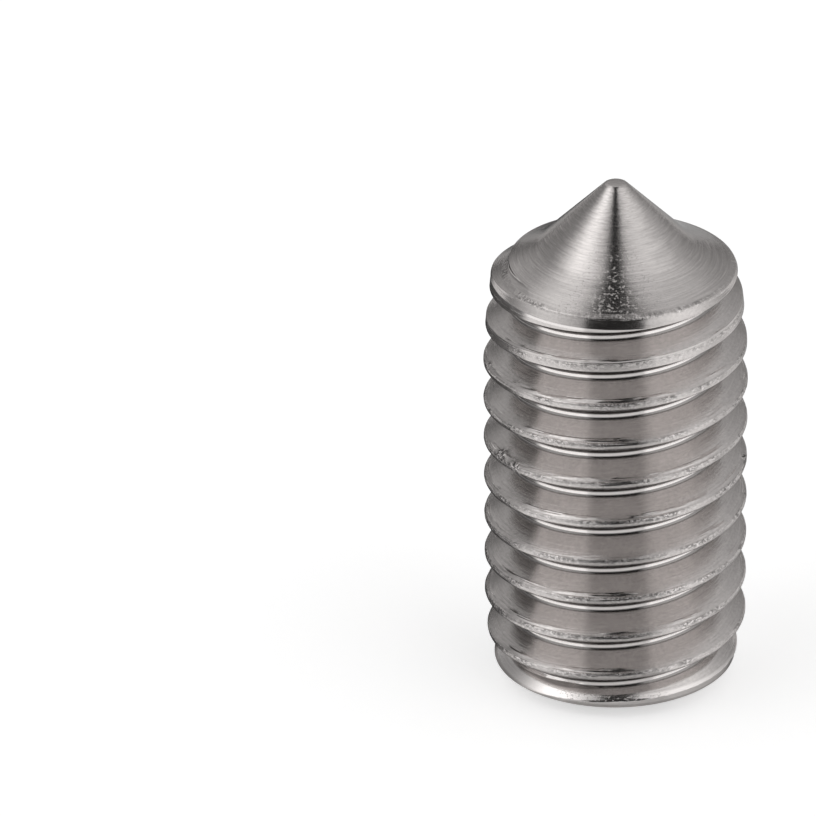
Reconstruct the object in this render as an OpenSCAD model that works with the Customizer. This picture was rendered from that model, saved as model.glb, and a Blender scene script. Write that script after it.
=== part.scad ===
// Grub set screw: a headless metric screw with a cone point at one end and a hexagon socket at the other.
// It stands on its socket end. Z is the screw's axis and the point is at the top.

/* [Size] */
// length from the socket-end face to the top of the point
screw_l = 10; // [7:0.5:16]
// diameter over the thread crests
thread_d = 4.88; // [4.8:0.01:4.98]

/* [Thread] */
// axial distance from one crest to the next
pitch = 0.8; // [0.75:0.01:0.85]
// diameter at the bottom of the groove
minor_d = 3.9; // [3.88:0.01:4]
// width of each crest where the lines of its flanks reach full height
crest_w = 0.1; // [0.1:0.01:0.14]
// width of the flat on each crest, between its two bevels
crest_flat_w = 0.06; // [0.04:0.01:0.08]
// height of the bevel on each side of the crest
crest_bevel_h = 0.04; // [0.02:0.01:0.06]
// angle between the two flanks of one groove
flank_angle = 60; // [58:1:62]
// turn of the whole thread about the axis
thread_turn = 270; // [0:1:359]
// straight steps in one turn of the thread
turn_steps = 48; // [18:1:54]
// straight steps across the rounded bottom of the groove
root_steps = 3; // [2:1:4]

/* [Cone point] */
// full angle of the cone
point_angle = 90; // [80:1:110]
// diameter of the small flat at the top of the point
tip_flat_d = 0.38; // [0.1:0.02:0.8]
// diameter where the straight cone ends and its flared foot begins
cone_d = 3.24; // [2.8:0.02:3.6]
// height of the flared foot of the cone
foot_h = 0.22; // [0.1:0.02:0.6]
// height of the plain rim under the foot of the cone
rim_h = 0.15; // [0.05:0.05:0.6]
// height over which the crests rise from the rim to full size
rise_h = 2.2; // [0.4:0.1:2.4]

/* [Plain ends] */
// diameter of the unrolled blank, seen at both ends of the thread
blank_d = 4.54; // [4.4:0.02:4.6]
// diameter of the flat socket-end face
face_d = 3.4; // [3.36:0.02:3.7]
// height of the chamfer round the socket-end face
end_chamfer_h = 0.3; // [0.1:0.02:0.38]
// height of the blank band at the socket end, chamfer included
band_h = 0.4; // [0.4:0.02:1]
// height over which the crest rises from that band
band_rise_h = 0.5; // [0.1:0.05:0.8]

/* [Socket] */
// width across the flats of the hexagon
socket_w = 2.5; // [2:0.05:2.6]
// depth of the hexagon
socket_h = 3; // [1.5:0.1:3.5]
// diameter of the round mouth
mouth_d = 3.1; // [3.04:0.02:3.3]
// full angle of the mouth's countersink
mouth_angle = 120; // [90:5:130]
// full angle of the drill point at the bottom of the socket
drill_angle = 118; // [90:2:140]

/* [Hidden] */
steel = [0.62, 0.61, 0.6];

// cuts run this far past the ends of the screw
clear = 0.5;

crest_r = thread_d / 2;
root_bottom_r = minor_d / 2;
blank_r = blank_d / 2;
flank_tan = tan(flank_angle / 2);

// the groove is a V whose bottom is one full rounding that runs into both flanks
groove_v_h = (pitch - crest_w) / 2 / flank_tan;
root_round_r = (groove_v_h - (crest_r - root_bottom_r)) / (1 / sin(flank_angle / 2) - 1);

// the two bevels run on to an edge over the crest, and the screw's outline cuts it back to the flat
bevel_z = crest_w / 2 + crest_bevel_h * flank_tan;
over = crest_bevel_h * (crest_flat_w / 2) / (bevel_z - crest_flat_w / 2);

// one pitch of the thread as [height in mm, radius], from groove bottom to groove bottom
root_span = 90 - flank_angle / 2;
half_root = [
  for (i = [0:root_steps - 1])
    let (a = root_span * (2 * i / root_steps - 1))
      [root_round_r * sin(a), root_bottom_r + root_round_r * (1 - cos(a))]
];
root_edge_z = root_round_r * sin(root_span);
root_edge_r = root_bottom_r + root_round_r * (1 - cos(root_span));
profile = concat(
  half_root,
  [
    [root_edge_z, root_edge_r],
    [pitch / 2 - bevel_z, crest_r - crest_bevel_h],
    [pitch / 2, crest_r + over],
    [pitch / 2 + bevel_z, crest_r - crest_bevel_h]
  ]
);
profile_n = len(profile);

// turned outline: heights up the cone point, from the flared foot of the cone down to the full crest
tip_r = tip_flat_d / 2;
cone_r = cone_d / 2;
foot_z = screw_l - (cone_r - tip_r) / tan(point_angle / 2);
rim_z = foot_z - foot_h;
rise_z = rim_z - rim_h;
rise_parts = 4;
crest_rise = [
  for (i = [0:rise_parts])
    let (t = i / rise_parts)
      [crest_r - (crest_r - blank_r) * pow(1 - t, 2), rise_z - rise_h * t]
];

// the thread is one strip wound up the screw, from under the socket-end face to the foot of the cone
strip_z = -1.2 * pitch;
strip_steps = ceil((foot_z - strip_z) / pitch * turn_steps) + turn_steps;

strip_points = [
  for (i = [0:strip_steps])
    let (a = 360 * i / turn_steps + thread_turn, lift = strip_z + pitch * i / turn_steps)
      for (p = profile)
        [p[1] * cos(a), p[1] * sin(a), p[0] + lift]
];

// number of the point at step i of the strip and place j of the profile
// place profile_n is the first place one whole turn further on
function at(i, j) = j < profile_n ? i * profile_n + j : (i + turn_steps) * profile_n;

last_i = strip_steps - turn_steps;
bottom_centre = len(strip_points);
top_centre = bottom_centre + 1;

strip_faces = [
  for (i = [0:last_i - 1])
    for (j = [0:profile_n - 1])
      each [
        [at(i, j), at(i, j + 1), at(i + 1, j + 1)],
        [at(i, j), at(i + 1, j + 1), at(i + 1, j)]
      ]
];

// edges of the open bottom and top of the strip, closed by fans to a point on the axis
bottom_faces = concat(
  [for (i = [0:turn_steps - 1]) [at(i, 0), at(i + 1, 0), bottom_centre]],
  [for (j = [0:profile_n - 1]) [at(0, j + 1), at(0, j), bottom_centre]]
);
top_faces = concat(
  [for (i = [last_i:last_i + turn_steps - 1]) [at(i + 1, 0), at(i, 0), top_centre]],
  [for (j = [0:profile_n - 1]) [at(last_i, j), at(last_i, j + 1), top_centre]]
);

module thread_strip() {
  polyhedron(
    points = concat(
      strip_points,
      [
        [0, 0, strip_z + pitch / 2],
        [0, 0, strip_z + pitch * (last_i / turn_steps + 0.5)]
      ]
    ),
    faces = concat(strip_faces, bottom_faces, top_faces),
    convexity = 20
  );
}

// the threaded rod, with a plain core that goes on up into the cone
core_r = (cone_r + root_bottom_r) / 2;

module thread_rod() {
  thread_strip();
  translate([0, 0, foot_z - 2 * pitch])
    cylinder(h = screw_l + clear - foot_z + 2 * pitch, r = core_r, $fn = 96);
}

module outline() {
  rotate_extrude($fn = 96)
    polygon(concat(
      [
        [0, 0],
        [face_d / 2, 0],
        [blank_r, end_chamfer_h],
        [blank_r, band_h],
        [crest_r, band_h + band_rise_h]
      ],
      [for (i = [rise_parts:-1:0]) crest_rise[i]],
      [
        [blank_r, rim_z],
        [cone_r, foot_z],
        [tip_r, screw_l],
        [0, screw_l]
      ]
    ));
}

// hexagon socket with a countersunk mouth and a drill point at its bottom
socket_corner_r = socket_w / 2 / cos(30);
mouth_h = mouth_d / 2 / tan(mouth_angle / 2);
drill_h = socket_w / 2 / tan(drill_angle / 2);

module socket() {
  translate([0, 0, -clear])
    linear_extrude(height = socket_h + clear)
      circle(r = socket_corner_r, $fn = 6);
  translate([0, 0, socket_h - 0.01])
    cylinder(h = drill_h, r1 = socket_w / 2, r2 = 0, $fn = 96);
  translate([0, 0, -clear])
    cylinder(h = clear + mouth_h, r1 = mouth_d / 2 + clear * tan(mouth_angle / 2), r2 = 0, $fn = 96);
}

module set_screw() {
  color(steel)
    difference() {
      intersection() {
        thread_rod();
        outline();
      }
      socket();
    }
}

set_screw();
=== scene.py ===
import bpy
import math
import numpy as np
from mathutils import Matrix, Vector

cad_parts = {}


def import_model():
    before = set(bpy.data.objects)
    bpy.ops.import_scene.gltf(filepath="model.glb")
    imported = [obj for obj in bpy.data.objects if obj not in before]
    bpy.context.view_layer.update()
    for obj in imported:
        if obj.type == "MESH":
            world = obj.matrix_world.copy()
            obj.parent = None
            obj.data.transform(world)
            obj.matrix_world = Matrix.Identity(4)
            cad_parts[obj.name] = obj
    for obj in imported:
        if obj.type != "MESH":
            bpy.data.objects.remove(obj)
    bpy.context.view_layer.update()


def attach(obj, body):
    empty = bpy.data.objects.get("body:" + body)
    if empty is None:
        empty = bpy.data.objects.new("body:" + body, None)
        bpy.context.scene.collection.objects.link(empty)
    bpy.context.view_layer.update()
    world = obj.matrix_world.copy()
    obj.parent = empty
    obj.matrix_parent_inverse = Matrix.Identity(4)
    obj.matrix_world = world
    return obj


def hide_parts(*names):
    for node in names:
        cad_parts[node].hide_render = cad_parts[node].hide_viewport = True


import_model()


MM = 0.001
TAU = 2 * math.pi
rng = np.random.default_rng(7)

# ---------------------------------------------------------------- sizes, as in part.scad, in mm
SCREW_L = 10.0
CREST_R = 2.44
PITCH = 0.8
ROOT_R = 1.95
CREST_W = 0.1
FLANK_TAN = math.tan(math.radians(30))
THREAD_TURN = math.radians(270)
TIP_R = 0.19
CONE_R = 1.62
FOOT_H = 0.22
RIM_H = 0.15
RISE_H = 2.2
BLANK_R = 2.27
FACE_R = 1.7
END_CHAMFER_H = 0.3
BAND_H = 0.4
BAND_RISE_H = 0.5
SOCKET_W = 2.5
SOCKET_H = 3.0
MOUTH_R = 1.55
FOOT_Z = SCREW_L - (CONE_R - TIP_R)
RIM_Z = FOOT_Z - FOOT_H
RISE_Z = RIM_Z - RIM_H
RIM_FACE_H = 0.17
RIM_FACE_DEG = 26
RIM_ROUND_R = 0.05
BEVEL_R = 2.095
BEVEL_DROP = 0.151
BEVEL_TAN = math.tan(math.radians(42))

STEPS = 192
RING_STEPS = 360


def mesh_object(name, verts, faces):
    me = bpy.data.meshes.new(name)
    me.from_pydata([tuple(v) for v in verts], [], faces)
    me.validate()
    ob = bpy.data.objects.new(name, me)
    bpy.context.scene.collection.objects.link(ob)
    return ob


# ---------------------------------------------------------------- thread profile over one pitch, [z, r, kind]
SIN60 = math.sin(math.radians(60))
COS60 = math.cos(math.radians(60))
CREST_ROUND_R = CREST_W / 2 / FLANK_TAN
ROOT_ROUND_R = 0.075
# half the height of the flat cylinder at the bottom of the groove
ROOT_FLAT = (PITCH - CREST_W) / 2 - (CREST_R - ROOT_R) * FLANK_TAN - ROOT_ROUND_R * FLANK_TAN
FLAT, LIP, CREST = 0, 1, 2


def thread_profile():
    """Root arc, lower flank of the turn above, rounded crest, upper flank with its lip."""
    pts = []
    n = 4
    for side in (-1, 1):
        for i in range(n + 1):
            a = math.radians(60) * (n - i if side < 0 else i) / n
            pts.append((side * (ROOT_FLAT + ROOT_ROUND_R * math.sin(a)), ROOT_R + ROOT_ROUND_R * (1 - math.cos(a)), FLAT))
    z0, r0 = pts[-1][:2]
    z1 = PITCH / 2 - CREST_ROUND_R * SIN60
    r1 = CREST_R - CREST_ROUND_R * (1 - COS60)
    for t in (0.05, 0.5, 0.95):
        pts.append((z0 + (z1 - z0) * t, r0 + (r1 - r0) * t, FLAT))
    n = 6
    for i in range(-n, n + 1):
        a = math.radians(60) * i / n
        pts.append((PITCH / 2 + CREST_ROUND_R * math.sin(a), CREST_R - CREST_ROUND_R * (1 - math.cos(a)), CREST))
    # the lip is a thin fold of metal that rolling leaves on the upper flank beside the crest
    for t, kind in ((0.05, FLAT), (0.09, LIP), (0.13, LIP), (0.17, LIP), (0.21, FLAT), (0.30, FLAT), (0.37, FLAT), (0.43, FLAT), (0.49, FLAT), (0.55, FLAT), (0.61, FLAT), (0.67, FLAT), (0.73, FLAT), (0.78, FLAT), (0.95, FLAT)):
        pts.append((PITCH - z1 + (z1 - z0) * t, r1 + (r0 - r1) * t, kind))
    return pts


def lattice(n, seed):
    g = np.random.default_rng(seed)
    return g.random(n)


def smooth_noise(x, seed, n=4096):
    t = lattice(n, seed)
    i = np.floor(x).astype(int)
    f = x - i
    f = f * f * (3 - 2 * f)
    return t[i % n] * (1 - f) + t[(i + 1) % n] * f


def thread_rod():
    prof = thread_profile()
    m = len(prof)
    start = -1.2 * PITCH
    turns_steps = math.ceil((SCREW_L + 0.6 - start) / PITCH * STEPS)
    total = turns_steps + STEPS
    i = np.arange(total + 1)
    ang = TAU * i / STEPS + THREAD_TURN
    lift = start + PITCH * i / STEPS
    z = np.array([p[0] for p in prof])[None, :] + lift[:, None]
    r = np.repeat(np.array([p[1] for p in prof])[None, :], total + 1, 0)
    c = np.array([p[2] for p in prof])
    # unevenness of the rolled crest along the thread
    s = i / STEPS
    big = smooth_noise(s * 21 + 5, 31)
    for j in range(m):
        fine = smooth_noise(s * 83 + 11 * j, 32 + j) - 0.5
        if c[j] == CREST:
            k = prof[j][0] - PITCH / 2
            seam = math.exp(-((k - 0.035) / 0.014) ** 2)
            r[:, j] -= 0.010 * seam * big + 0.005 * (fine + 0.5)
            z[:, j] += 0.006 * (smooth_noise(s * 47, 55) - 0.5)
        elif c[j] == LIP:
            rise = 0.022 * np.clip(big - 0.42, 0, 1) + 0.012 * fine * (big > 0.42)
            r[:, j] += rise * COS60
            z[:, j] += rise * SIN60
    # near the lower end the thread's ridge turns over into the band with a soft shoulder
    band = BLANK_R + (CREST_R - BLANK_R) * np.clip((z - BAND_H) / BAND_RISE_H, 0, 1)
    soft = 0.2 * np.clip((1.1 - z) / 0.3, 0, 1) + 1e-6
    t = np.clip(0.5 + 0.5 * (band - r) / soft, 0, 1)
    r = np.where(r < band + soft, band * (1 - t) + r * t - soft * t * (1 - t), r)
    # the last flank ends in a bevel, which fills the groove on the left and cuts the flank on the right
    flank = np.array([p[0] > PITCH / 2 for p in prof])[None, :] & (lift[:, None] + PITCH < 1.2)
    bevel = BEVEL_R + (lift[:, None] + PITCH - BEVEL_DROP - z) * BEVEL_TAN
    r = np.where(flank, np.minimum(r, bevel), r)
    ring_z = 0.4585 + 0.0305 * (np.cos(ang) - np.sin(ang))[:, None]
    ring = BEVEL_R + (ring_z - z) * np.where(z < ring_z, BEVEL_TAN, 1 / FLANK_TAN)
    r = np.where(z < 0.7, np.maximum(r, np.minimum(ring, BLANK_R + 0.02)), r)
    front = np.clip(-np.sin(ang), 0, 1)[:, None] ** 2
    r = np.where(z < 0.45, np.minimum(r, BLANK_R + 0.005 - 0.08 * front), r)
    x = r * np.cos(ang)[:, None]
    y = r * np.sin(ang)[:, None]
    verts = np.stack([x, y, z], -1).reshape(-1, 3)

    def at(a, j):
        return a * m + j if j < m else (a + STEPS) * m

    last = total - STEPS
    faces = []
    for a in range(last):
        for j in range(m):
            faces.append((at(a, j), at(a + 1, j), at(a + 1, j + 1), at(a, j + 1)))
    b = len(verts)
    t = b + 1
    extra = [[0, 0, start + PITCH / 2], [0, 0, start + PITCH * (last / STEPS + 0.5)]]
    verts = np.concatenate([verts, np.array(extra)])
    for a in range(STEPS):
        faces.append((at(a + 1, 0), at(a, 0), b))
    for j in range(m):
        faces.append((at(0, j), at(0, j + 1), b))
    for a in range(last, last + STEPS):
        faces.append((at(a, 0), at(a + 1, 0), t))
    for j in range(m):
        faces.append((at(last, j + 1), at(last, j), t))
    return mesh_object("rod_tool", verts * MM, faces)


def outline_profile():
    pts = [(0, 0), (FACE_R - 0.04, 0), (FACE_R, 0.014)]
    pts += [(BLANK_R - 0.04, END_CHAMFER_H - 0.025), (BLANK_R - 0.01, END_CHAMFER_H), (BLANK_R, END_CHAMFER_H + 0.04)]
    pts += [(BLANK_R, BAND_H), (CREST_R, BAND_H + BAND_RISE_H)]
    n = 8
    rise = [(CREST_R - (CREST_R - BLANK_R) * (1 - k / n) ** 2, RISE_Z - RISE_H * k / n) for k in range(n + 1)]
    pts += rise[:0:-1]
    # slightly conical rim face with a small rounding at its top
    lean = math.radians(RIM_FACE_DEG)
    low = RIM_Z - 0.03 - RIM_FACE_H
    pts += [(BLANK_R + 0.022, low - 0.06), (BLANK_R + 0.02, low - 0.008), (BLANK_R + 0.02, low)]
    pts.append((BLANK_R + 0.02 - 0.008 * math.tan(lean), low + 0.008))
    mid_r = BLANK_R + 0.02 - RIM_FACE_H * math.tan(lean) - RIM_ROUND_R * math.cos(lean)
    mid_z = RIM_Z - 0.03 - RIM_ROUND_R * math.sin(lean)
    for k in range(6):
        a = math.radians(RIM_FACE_DEG + 45 * k / 5)
        pts.append((mid_r + RIM_ROUND_R * math.cos(a), mid_z + RIM_ROUND_R * math.sin(a)))
    # flared foot of the cone, a soft curve into the straight cone
    a = (pts[-1][0] - 0.03, pts[-1][1] + 0.012)
    b = (CONE_R + 0.06, FOOT_Z + 0.0)
    c = (CONE_R - 0.22, FOOT_Z + 0.22)
    for k in range(0, 9):
        t = k / 8
        pts.append(tuple((1 - t) ** 2 * a[q] + 2 * t * (1 - t) * b[q] + t * t * c[q] for q in (0, 1)))
    for k in range(1, 5):
        t = k / 5
        pts.append((c[0] + (TIP_R + 0.04 - c[0]) * t, c[1] + (SCREW_L - 0.04 - c[1]) * t))
    for k in range(5):
        t = math.radians(45 + 45 * k / 4)
        pts.append((TIP_R + 0.04 - 0.09 + 0.09 * math.cos(t) * 1.41, SCREW_L - 0.04 * (1 - (math.sin(t) - 0.7071) / 0.2929)))
    pts.append((0, SCREW_L))
    return pts


def revolve(name, prof, steps):
    verts = []
    ring = []
    for r, z in prof:
        if r < 1e-9:
            ring.append([len(verts)])
            verts.append((0, 0, z))
        else:
            ring.append(list(range(len(verts), len(verts) + steps)))
            verts += [(r * math.cos(TAU * k / steps), r * math.sin(TAU * k / steps), z) for k in range(steps)]
    faces = []
    for a, b in zip(ring[:-1], ring[1:]):
        for k in range(steps):
            q = (k + 1) % steps
            if len(a) == 1:
                faces.append((a[0], b[q], b[k]))
            elif len(b) == 1:
                faces.append((a[k], a[q], b[0]))
            else:
                faces.append((a[k], a[q], b[q], b[k]))
    return mesh_object(name, np.array(verts) * MM, faces)


def prism(name, pts, z0, z1):
    n = len(pts)
    verts = [(x, y, z0) for x, y in pts] + [(x, y, z1) for x, y in pts]
    faces = [tuple(range(n - 1, -1, -1)), tuple(range(n, 2 * n))]
    faces += [(k, (k + 1) % n, n + (k + 1) % n, n + k) for k in range(n)]
    return mesh_object(name, np.array(verts) * MM, faces)


def boolean(target, tool, operation):
    mod = target.modifiers.new("cut", "BOOLEAN")
    mod.operation = operation
    mod.solver = "MANIFOLD"
    mod.object = tool
    dg = bpy.context.evaluated_depsgraph_get()
    me = bpy.data.meshes.new_from_object(target.evaluated_get(dg))
    target.modifiers.clear()
    old = target.data
    target.data = me
    bpy.data.meshes.remove(old)
    bpy.data.objects.remove(tool)
    return target


def socket_tools():
    corner = SOCKET_W / 2 / math.cos(math.radians(30))
    n = 6
    pts = []
    for k in range(n):
        a = TAU * k / n
        pts.append((corner * math.cos(a), corner * math.sin(a)))
    hexagon = prism("hex_tool", pts, -0.5, SOCKET_H)
    drill = revolve("drill_tool", [(0, SOCKET_H - 0.01), (SOCKET_W / 2, SOCKET_H - 0.01), (0, SOCKET_H - 0.01 + SOCKET_W / 2 / math.tan(math.radians(59)))], 96)
    mouth_h = MOUTH_R / math.tan(math.radians(60))
    mouth = revolve("mouth_tool", [(0, -0.5), (MOUTH_R + 0.5 * math.tan(math.radians(60)), -0.5), (0, mouth_h)], 192)
    return [hexagon, drill, mouth]


screw = thread_rod()
boolean(screw, revolve("outline_tool", outline_profile(), RING_STEPS), "INTERSECT")
for tool in socket_tools():
    boolean(screw, tool, "DIFFERENCE")
screw.name = "grub_screw"
screw.data.name = "grub_screw"
me = screw.data
# the socket end is cut a little off centre
for v in me.vertices:
    x, y, z = v.co / MM
    k = min(max((0.42 - z) / 0.42, 0), 1)
    v.co.x += MM * k * (-0.055 + 0.02 * min(x, 0))
    v.co.y += MM * k * 0.05
me.shade_smooth()
me.set_sharp_from_angle(angle=math.radians(24))
print("triangles", sum(len(p.vertices) - 2 for p in me.polygons))


# ---------------------------------------------------------------- steel
class Graph:
    """Small helper that builds node chains."""

    def __init__(self, tree):
        self.tree = tree

    def node(self, kind, **values):
        n = self.tree.nodes.new(kind)
        for k, v in values.items():
            setattr(n, k, v)
        return n

    def put(self, socket, value):
        if isinstance(value, bpy.types.NodeSocket):
            self.tree.links.new(value, socket)
        else:
            socket.default_value = value

    def math(self, op, *args, clamp=False):
        n = self.node("ShaderNodeMath", operation=op, use_clamp=clamp)
        for s, v in zip(n.inputs, args):
            self.put(s, v)
        return n.outputs[0]

    def ramp(self, value, lo, hi, a=0.0, b=1.0, kind="SMOOTHSTEP"):
        n = self.node("ShaderNodeMapRange", interpolation_type=kind)
        for s, v in zip(n.inputs, (value, lo, hi, a, b)):
            self.put(s, v)
        return n.outputs[0]

    def vector(self, x, y, z):
        n = self.node("ShaderNodeCombineXYZ")
        for s, v in zip(n.inputs, (x, y, z)):
            self.put(s, v)
        return n.outputs[0]

    def noise(self, vector, scale=1.0, detail=2.0, rough=0.5):
        n = self.node("ShaderNodeTexNoise")
        self.put(n.inputs["Vector"], vector)
        n.inputs["Scale"].default_value = scale
        n.inputs["Detail"].default_value = detail
        n.inputs["Roughness"].default_value = rough
        return n.outputs[0]

    def mix(self, fac, a, b):
        n = self.node("ShaderNodeMix", data_type="RGBA")
        self.put(n.inputs[0], fac)
        self.put(n.inputs[6], a)
        self.put(n.inputs[7], b)
        return n.outputs[2]

    def bump(self, height, strength, distance, normal=None):
        n = self.node("ShaderNodeBump")
        self.put(n.inputs["Strength"], strength)
        n.inputs["Distance"].default_value = distance
        self.put(n.inputs["Height"], height)
        if normal is not None:
            self.put(n.inputs["Normal"], normal)
        return n.outputs[0]


def direction(azimuth, elevation):
    """Azimuth 0 is the camera's side, positive to the right of the picture."""
    a, e = math.radians(azimuth), math.radians(elevation)
    return (math.sin(a) * math.cos(e), -math.cos(a) * math.cos(e), math.sin(e))


# nicks on the crests: azimuth, height and reach in mm
NICKS = [(-62, 4.97, 0.28), (-50, 4.90, 0.26), (84, 4.46, 0.16), (-46, 2.75, 0.16), (-77, 6.50, 0.16)]


def steel_material():
    mat = bpy.data.materials.new("brushed_steel")
    mat.use_nodes = True
    t = mat.node_tree
    bsdf = t.nodes["Principled BSDF"]
    g = Graph(t)
    tc = g.node("ShaderNodeTexCoord")
    sep = g.node("ShaderNodeSeparateXYZ")
    g.put(sep.inputs[0], tc.outputs["Object"])
    x = g.math("MULTIPLY", sep.outputs[0], 1000.0)
    y = g.math("MULTIPLY", sep.outputs[1], 1000.0)
    z = g.math("MULTIPLY", sep.outputs[2], 1000.0)
    r = g.math("SQRT", g.math("ADD", g.math("MULTIPLY", x, x), g.math("MULTIPLY", y, y)))
    inv = g.math("DIVIDE", 1.0, g.math("MAXIMUM", r, 0.02))
    cx = g.math("MULTIPLY", x, inv)
    cy = g.math("MULTIPLY", y, inv)
    theta = g.math("DIVIDE", g.math("ARCTAN2", y, x), TAU)
    phase = 0.5 - 1.2 - math.degrees(THREAD_TURN) / 360
    u = g.math("SUBTRACT", g.math("SUBTRACT", g.math("DIVIDE", z, PITCH), theta), phase)
    u = g.math("SUBTRACT", u, g.math("ROUND", u))
    au = g.math("ABSOLUTE", u)
    half = CREST_W / 2 / PITCH
    thread_zone = g.math("LESS_THAN", z, RIM_Z + 0.02)
    full_crest = g.math("MULTIPLY", g.ramp(z, RIM_Z - 0.34, RIM_Z - 0.24, 1.0, 0.0), g.ramp(z, 0.5, 0.6))
    crest = g.math("MULTIPLY", g.ramp(au, half * 1.15, half * 1.6, 1.0, 0.0), full_crest)
    rim = g.math("MULTIPLY", g.ramp(z, RIM_Z - 0.06, RIM_Z - 0.03, 0.0, 0.9), g.ramp(z, RIM_Z + 0.005, RIM_Z + 0.03, 1.0, 0.0))
    crest = g.math("MAXIMUM", crest, rim)
    # nicks where the photograph shows them
    worn = 0.0
    for azimuth, height, reach in NICKS:
        d = g.node("ShaderNodeVectorMath", operation="DISTANCE")
        g.put(d.inputs[0], g.vector(x, y, z))
        p = direction(azimuth, 0)
        d.inputs[1].default_value = (p[0] * 2.4, p[1] * 2.4, height)
        worn = g.math("MAXIMUM", g.ramp(d.outputs["Value"], reach, reach * 0.4), worn)
    crest = g.math("MAXIMUM", crest, worn)
    # turned lines run round the screw, so their noise is stretched round the axis
    cone_lines = g.noise(g.vector(g.math("MULTIPLY", cx, 2.2), g.math("MULTIPLY", cy, 2.2), g.math("MULTIPLY", g.math("ADD", z, g.math("MULTIPLY", r, -1.0)), 22.0)), 1.0, 4.0, 0.65)
    flank_lines = g.noise(g.vector(g.math("MULTIPLY", cx, 3.0), g.math("MULTIPLY", cy, 3.0), g.math("MULTIPLY", r, 46.0)), 1.0, 3.0, 0.6)
    speck = g.noise(g.vector(g.math("MULTIPLY", x, 1.0), g.math("MULTIPLY", y, 1.0), g.math("MULTIPLY", z, 1.6)), 16.0, 3.0, 0.6)
    crest_mottle = g.noise(g.vector(g.math("MULTIPLY", cx, 34.0), g.math("MULTIPLY", cy, 34.0), g.math("MULTIPLY", z, 26.0)), 1.0, 4.0, 0.68)
    # some stretches of the crest are rougher than others
    rough_crest = g.ramp(g.noise(g.vector(g.math("MULTIPLY", cx, 5.0), g.math("MULTIPLY", cy, 5.0), g.math("MULTIPLY", z, 1.3)), 1.0, 2.0, 0.5), 0.38, 0.62, 0.25, 1.0)
    rough_crest = g.math("MAXIMUM", rough_crest, g.math("MULTIPLY", worn, 1.6))
    broad = g.noise(g.vector(x, y, z), 0.9, 3.0, 0.6)
    lines = g.node("ShaderNodeMix", data_type="FLOAT")
    g.put(lines.inputs[0], thread_zone)
    g.put(lines.inputs[2], cone_lines)
    g.put(lines.inputs[3], flank_lines)
    n1 = g.bump(lines.outputs[0], 0.35, 0.000012)
    low_cone = g.math("MULTIPLY", g.ramp(z, SCREW_L - 0.6, FOOT_Z + 0.1, 0.0, 1.0), g.math("SUBTRACT", 1.0, thread_zone))
    end_ring_highlight = g.math("MULTIPLY", g.ramp(z, 0.30, 0.34), g.ramp(z, 0.50, 0.46))
    pits = g.ramp(speck, 0.58, 0.66)
    n2 = g.bump(g.math("MULTIPLY", pits, g.math("MULTIPLY", g.math("MAXIMUM", low_cone, end_ring_highlight), g.ramp(cy, -0.80, -0.96))), 0.35, 0.00001, n1)
    n3 = g.bump(g.math("MULTIPLY", crest_mottle, g.math("MULTIPLY", crest, rough_crest)), 0.45, 0.00003, n2)
    g.put(bsdf.inputs["Normal"], n3)
    base = g.mix(g.ramp(broad, 0.3, 0.7), (0.575, 0.546, 0.533, 1), (0.621, 0.590, 0.576, 1))
    # stains and fine lines on the flanks
    stain = g.math("MULTIPLY", g.ramp(flank_lines, 0.3, 0.7, 0.93, 1.06, "LINEAR"), g.ramp(speck, 0.3, 0.7, 0.9, 1.06, "LINEAR"))
    cone_tone = g.math("MULTIPLY", g.ramp(cone_lines, 0.3, 0.7, 0.82, 1.14, "LINEAR"), g.ramp(speck, 0.3, 0.7, 0.95, 1.04, "LINEAR"))
    tone = g.node("ShaderNodeMix", data_type="FLOAT")
    g.put(tone.inputs[0], thread_zone)
    g.put(tone.inputs[2], cone_tone)
    g.put(tone.inputs[3], stain)
    scale = g.node("ShaderNodeVectorMath", operation="SCALE")
    g.put(scale.inputs[0], base)
    g.put(scale.inputs["Scale"], tone.outputs[0])
    base = scale.outputs[0]
    upper = g.ramp(u, -0.05, 0.05, 0.0, 1.0)
    dark = g.math("MULTIPLY", g.ramp(crest_mottle, 0.55, 0.42, 0.0, 0.7), g.math("MULTIPLY", g.math("MULTIPLY", crest, upper), rough_crest))
    base = g.mix(dark, base, (0.10, 0.095, 0.093, 1))
    light = g.math("MULTIPLY", g.math("MULTIPLY", g.ramp(crest_mottle, 0.52, 0.64, 0.0, 0.6), crest), rough_crest)
    base = g.mix(light, base, (0.95, 0.91, 0.90, 1))
    # painted shade in the corners on both sides of the lighter bottom of the groove
    corner = g.math("MULTIPLY", g.ramp(au, 0.385, 0.405), thread_zone)
    base = g.mix(g.math("MULTIPLY", corner, 0.75), base, (0.225, 0.214, 0.209, 1))
    # bottom of the groove lighter, a painted highlight along the bright line there
    root = g.math("MULTIPLY", g.ramp(au, 0.5 - ROOT_FLAT / PITCH - 0.012, 0.5 - ROOT_FLAT / PITCH), thread_zone)
    base = g.mix(root, base, (0.91, 0.87, 0.855, 1))
    # lighter band above the end chamfer, a painted highlight
    base = g.mix(end_ring_highlight, base, (0.82, 0.785, 0.77, 1))
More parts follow.
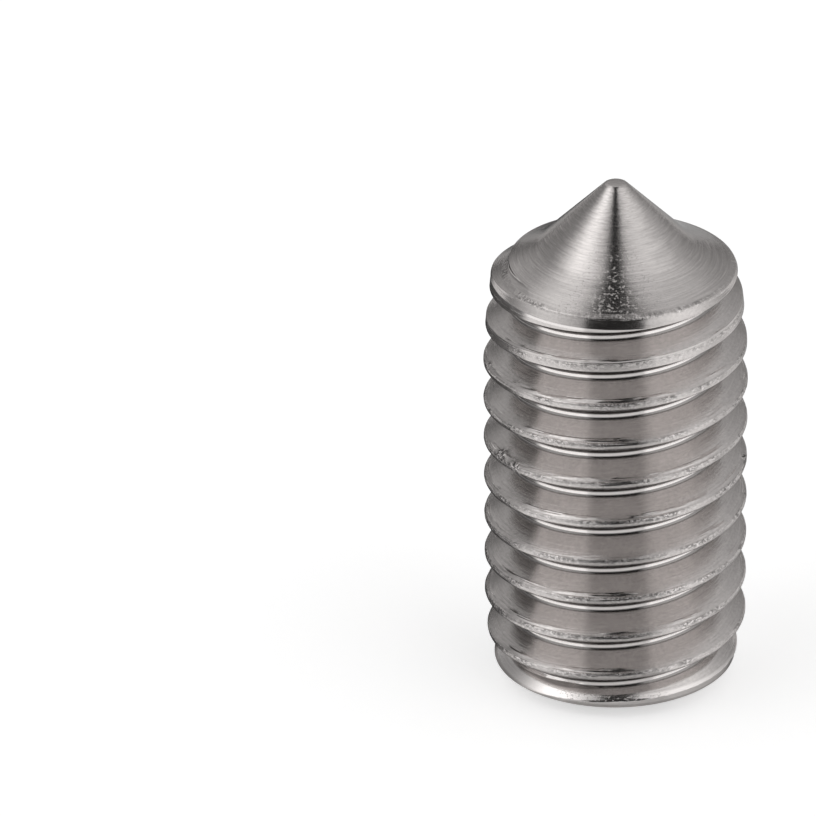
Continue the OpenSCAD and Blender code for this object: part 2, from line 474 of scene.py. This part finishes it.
    # painted highlight, a light line under the rim's face
    rim_highlight_line = g.math("MULTIPLY", g.ramp(z, RIM_Z - 0.26, RIM_Z - 0.24), g.ramp(z, RIM_Z - 0.195, RIM_Z - 0.215))
    rim_highlight_line = g.math("MULTIPLY", rim_highlight_line, g.ramp(r, BLANK_R - 0.03, BLANK_R))
    base = g.mix(rim_highlight_line, base, (0.82, 0.785, 0.77, 1))
    g.put(bsdf.inputs["Base Color"], base)
    bsdf.inputs["Metallic"].default_value = 1.0
    bsdf.inputs["Specular Tint"].default_value = (0.4, 0.4, 0.4, 1)
    rough = g.ramp(lines.outputs[0], 0.3, 0.7, 0.13, 0.21, "LINEAR")
    rough = g.math("ADD", rough, g.math("MULTIPLY", crest, 0.08))
    g.put(bsdf.inputs["Roughness"], rough)
    bsdf.inputs["Anisotropic"].default_value = 0.6
    bsdf.inputs["Anisotropic Rotation"].default_value = 0.25
    tan = g.node("ShaderNodeTangent", direction_type="RADIAL", axis="Z")
    g.put(bsdf.inputs["Tangent"], tan.outputs[0])
    return mat


me.materials.clear()
me.materials.append(steel_material())
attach(screw, "root")
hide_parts("set_screw")


# ---------------------------------------------------------------- floor and light tent
FLOOR_LIFT = 0.55


def floor():
    s = 3.0
    ob = mesh_object("studio_floor", [(-s, -s, 0), (s, -s, 0), (s, s, 0), (-s, s, 0)], [(0, 1, 2, 3)])
    mat = bpy.data.materials.new("floor_white")
    mat.use_nodes = True
    t = mat.node_tree
    t.nodes.clear()
    g = Graph(t)
    diff = g.node("ShaderNodeBsdfDiffuse")
    em = g.node("ShaderNodeEmission")
    em.inputs["Color"].default_value = (1, 1, 1, 1)
    tc = g.node("ShaderNodeTexCoord")
    sep = g.node("ShaderNodeSeparateXYZ")
    g.put(sep.inputs[0], tc.outputs["Object"])
    # azimuth on the floor round the screw, 0 at the front, positive to the right
    a = g.math("ARCTAN2", sep.outputs[0], g.math("MULTIPLY", sep.outputs[1], -1.0))
    a = g.math("MULTIPLY", a, 180 / math.pi)
    # painted shade that only reflections see: a darker wedge of floor in front
    front = g.ramp(g.math("ABSOLUTE", g.math("SUBTRACT", a, 1.5)), 26, 31, 0.2, 1.0)
    px = g.math("MULTIPLY", sep.outputs[0], 1000.0)
    py = g.math("MULTIPLY", sep.outputs[1], 1000.0)
    far = g.math("SQRT", g.math("ADD", g.math("MULTIPLY", px, px), g.math("MULTIPLY", py, py)))
    left_patch_noise = g.noise(g.vector(px, py, 0.0), 0.35, 3.0, 0.6)
    # painted shade and reflection of a dark, uneven patch at the left, close to the screw
    left = g.math("MULTIPLY", g.ramp(a, -92, -80, 1.0, 0.0), g.ramp(far, 60, 35))
    left = g.math("MULTIPLY", left, g.ramp(left_patch_noise, 0.35, 0.65, 1.0, 0.85))
    # painted shade, darker floor behind at the right and close to the screw, for reflections only
    back = g.math("SUBTRACT", 1.0, g.math("MULTIPLY", g.math("MULTIPLY", g.ramp(a, 135, 165), g.ramp(far, 60, 35)), 0.5))
    # painted shade, a soft dark patch at the right for reflections only
    right_shade_patch = g.ramp(g.math("ABSOLUTE", g.math("SUBTRACT", a, 97)), 8, 24, 0.6, 1.0)
    shade = g.math("MULTIPLY", front, g.math("SUBTRACT", 1.0, left))
    # painted contact shadow round the screw's foot, seen only in reflections
    shade = g.math("MULTIPLY", shade, g.ramp(far, 2.6, 3.4, 0.2, 1.0))
    shade = g.math("MULTIPLY", shade, g.math("MULTIPLY", back, right_shade_patch))
    lp = g.node("ShaderNodeLightPath")
    seen = g.math("MAXIMUM", lp.outputs["Is Camera Ray"], g.math("MULTIPLY", g.math("MAXIMUM", lp.outputs["Is Glossy Ray"], lp.outputs["Is Transmission Ray"]), shade))
    g.put(em.inputs["Strength"], g.math("MULTIPLY", seen, FLOOR_LIFT))
    # the left patch also darkens the paper for reflections, painted shade
    paper = g.math("SUBTRACT", 0.8, g.math("MULTIPLY", g.math("MULTIPLY", left, lp.outputs["Is Glossy Ray"]), 0.7))
    g.put(diff.inputs["Color"], g.vector(paper, paper, paper))
    add = g.node("ShaderNodeAddShader")
    g.put(add.inputs[0], diff.outputs[0])
    g.put(add.inputs[1], em.outputs[0])
    out = g.node("ShaderNodeOutputMaterial")
    g.put(out.inputs[0], add.outputs[0])
    ob.data.materials.append(mat)


floor()


# soft panels of the light tent: azimuth, elevation, spread in degrees, strength
PANELS = [
    (-74, 50, 15.5, 1.27),
    (66, 46, 26, 0.46),
    (-62, 10, 24, 0.60),
    (62, 10, 24, 0.50),
    (-148, 62, 12, 0.75),
    (-155, 28, 13, 0.35),
    (148, 60, 20, 0.08),
]
DARK_SIDE = 0.20
LIGHT_SIDE = 0.42
OPENING = 0.025
FAR_EDGE = 0.45


def world():
    w = bpy.data.worlds.new("light_tent")
    bpy.context.scene.world = w
    w.use_nodes = True
    t = w.node_tree
    bg = t.nodes["Background"]
    g = Graph(t)
    tc = g.node("ShaderNodeTexCoord")
    sep = g.node("ShaderNodeSeparateXYZ")
    g.put(sep.inputs[0], tc.outputs["Generated"])
    x, y, z = sep.outputs[0], sep.outputs[1], sep.outputs[2]
    level = g.ramp(x, -0.40, 0.10, DARK_SIDE, LIGHT_SIDE)
    for azimuth, elevation, spread, strength in PANELS:
        dot = g.node("ShaderNodeVectorMath", operation="DOT_PRODUCT")
        g.put(dot.inputs[0], tc.outputs["Generated"])
        dot.inputs[1].default_value = direction(azimuth, elevation)
        sharp = 1 / math.radians(spread) ** 2
        lobe = g.math("EXPONENT", g.math("MULTIPLY", g.math("SUBTRACT", dot.outputs["Value"], 1.0), sharp))
        level = g.math("ADD", level, g.math("MULTIPLY", lobe, strength))
    # the paper's far edge, a light rim above the horizon at the left and behind
    edge = g.math("MULTIPLY", g.ramp(z, 0.09, 0.13, 1.0, 0.0), g.math("MULTIPLY", g.ramp(x, -0.45, -0.6), g.ramp(y, 0.3, 0.5)))
    level = g.math("ADD", level, g.math("MULTIPLY", edge, FAR_EDGE))
    # dark opening of the tent on the camera's side, narrower towards the top
    half = g.ramp(z, 0.45, 0.87, 0.43, 0.16)
    side = g.math("DIVIDE", g.math("ABSOLUTE", g.math("ADD", x, 0.012)), half)
    opening = g.math("MULTIPLY", g.ramp(side, 0.9, 1.1, 1.0, 0.0), g.ramp(y, 0.40, 0.55, 1.0, 0.0))
    level = g.math("ADD", g.math("MULTIPLY", level, g.math("SUBTRACT", 1.0, opening)), g.math("MULTIPLY", opening, OPENING))
    lp = g.node("ShaderNodeLightPath")
    seen = lp.outputs["Is Camera Ray"]
    level = g.math("ADD", g.math("MULTIPLY", level, g.math("SUBTRACT", 1.0, seen)), seen)
    bg.inputs["Color"].default_value = (1, 1, 1, 1)
    g.put(bg.inputs["Strength"], level)


world()


# ---------------------------------------------------------------- camera at the photograph's angle
def camera():
    elevation = math.radians(27.63)
    distance = 54.48 * CREST_R * MM
    focal_px = 7183.2
    picture = 816
    u0, v0 = 615.42, 432.04
    roll = 0.0016
    target = np.array([0, 0, 2 * CREST_R * MM])
    back = np.array([0, -math.cos(elevation), math.sin(elevation)])
    rows = np.array([[1, 0, 0], -np.cross([1, 0, 0], -back), -back])
    c, s = math.cos(roll), math.sin(roll)
    rolled = np.array([[c, -s, 0], [s, c, 0], [0, 0, 1]]) @ rows
    d = np.array([(u0 - picture / 2) / focal_px, (v0 - picture / 2) / focal_px, 1.0])
    d /= np.linalg.norm(d)
    v = np.cross([0, 0, 1.0], d)
    k = np.array([[0, -v[2], v[1]], [v[2], 0, -v[0]], [-v[1], v[0], 0]])
    pan = np.eye(3) + k + k @ k / (1 + d[2])
    rot = (np.diag([1, -1, -1]) @ pan @ rolled).T
    data = bpy.data.cameras.new("camera")
    data.sensor_width = 36
    data.lens = focal_px / picture * 36
    data.clip_start = 0.005
    data.clip_end = 20
    ob = bpy.data.objects.new("camera", data)
    bpy.context.scene.collection.objects.link(ob)
    m = Matrix(rot.tolist()).to_4x4()
    ob.matrix_world = Matrix.Translation(Vector((target + back * distance).tolist())) @ m
    bpy.context.scene.camera = ob


camera()
bpy.context.scene.view_settings.view_transform = "Standard"
